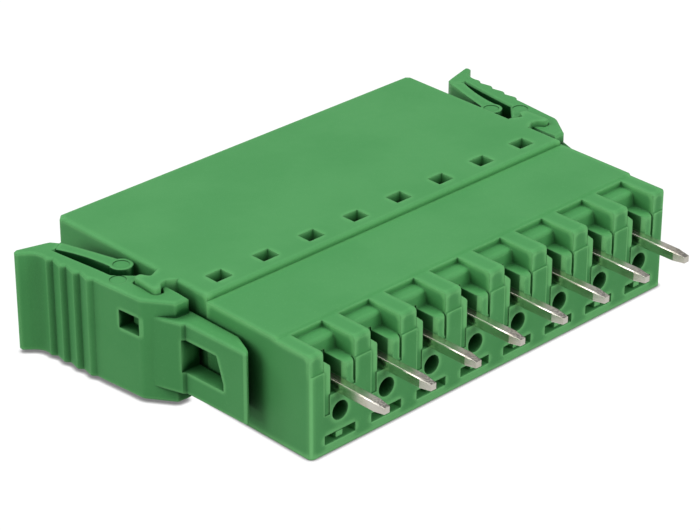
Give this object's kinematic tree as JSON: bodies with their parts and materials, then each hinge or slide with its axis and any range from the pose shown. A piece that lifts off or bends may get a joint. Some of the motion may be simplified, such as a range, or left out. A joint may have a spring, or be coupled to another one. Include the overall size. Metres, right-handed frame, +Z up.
{
  "type": "pcb terminal block plug",
  "caption": "Cable side plug for a board connector: green housing with one row of pins, spring clamp wire entries at the rear and a rocking release lever on each end.",
  "frame": {"origin": "under the middle of the whole plug, on the plane that it rests on", "axes": "+X along the row of poles, +Y towards the wire side, +Z up; the pins point to -Y"},
  "size_m": [0.0538, 0.0364, 0.0099],
  "materials": {
    "housing": "fine matte moulded polyamide",
    "lever": "fine matte moulded polyamide",
    "tinned_contact": "bright tin plating",
    "spring_steel": "bright rolled strip"
  },
  "bodies": {
    "plug": {"clamp_housing": "housing", "pin_housing": "housing", "contact_1": "tinned_contact", "contact_2": "tinned_contact", "contact_3": "tinned_contact", "contact_4": "tinned_contact", "contact_5": "tinned_contact", "contact_6": "tinned_contact", "contact_7": "tinned_contact", "contact_8": "tinned_contact", "cage_spring_1": "spring_steel", "cage_spring_2": "spring_steel", "cage_spring_3": "spring_steel", "cage_spring_4": "spring_steel", "cage_spring_5": "spring_steel", "cage_spring_6": "spring_steel", "cage_spring_7": "spring_steel", "cage_spring_8": "spring_steel"},
    "left_lever": {"left_lever": "lever", "left_lever_spring": "lever"},
    "right_lever": {"right_lever": "lever", "right_lever_spring": "lever"}
  },
  "joints": [
    {"name": "left_lever_rock", "type": "hinge", "parent": "plug", "child": "left_lever", "pos_m": [-0.02245, 0.00415, 0.0048], "axis": [0, 0, -1], "range_deg": [0, 8], "stiffness_Nm_per_rad": 0.3, "deforming": ["left_lever_spring"]},
    {"name": "right_lever_rock", "type": "hinge", "parent": "plug", "child": "right_lever", "pos_m": [0.02245, 0.00415, 0.0048], "axis": [0, 0, 1], "range_deg": [0, 8], "stiffness_Nm_per_rad": 0.3, "deforming": ["right_lever_spring"]}
  ]
}
